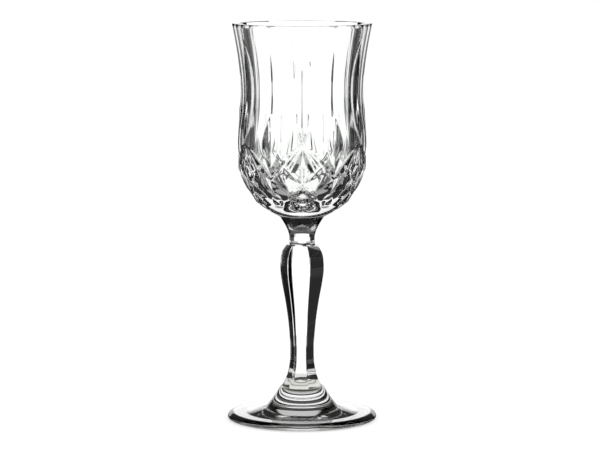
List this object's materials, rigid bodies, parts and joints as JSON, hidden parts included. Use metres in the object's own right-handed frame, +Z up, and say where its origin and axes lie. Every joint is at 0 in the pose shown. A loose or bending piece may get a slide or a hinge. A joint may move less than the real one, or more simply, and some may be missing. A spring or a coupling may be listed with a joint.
{
  "type": "liqueur glass",
  "caption": "Small stemmed liqueur glass: a bell-shaped, panelled bowl cut with leaves and diamonds, a flared collar, a faceted baluster stem and a round foot.",
  "frame": {"origin": "centre of the foot's underside, on the table", "axes": "+Z up along the stem to the rim, -Y towards the viewer in the picture, with a diamond of the cutting facing -Y"},
  "size_m": [0.0512, 0.0512, 0.136],
  "materials": {
    "clear_glass": "clear crystal glass, fire-polished"
  },
  "bodies": {
    "root": {"bowl": "clear_glass", "collar": "clear_glass", "stem": "clear_glass", "foot": "clear_glass"}
  },
  "joints": []
}
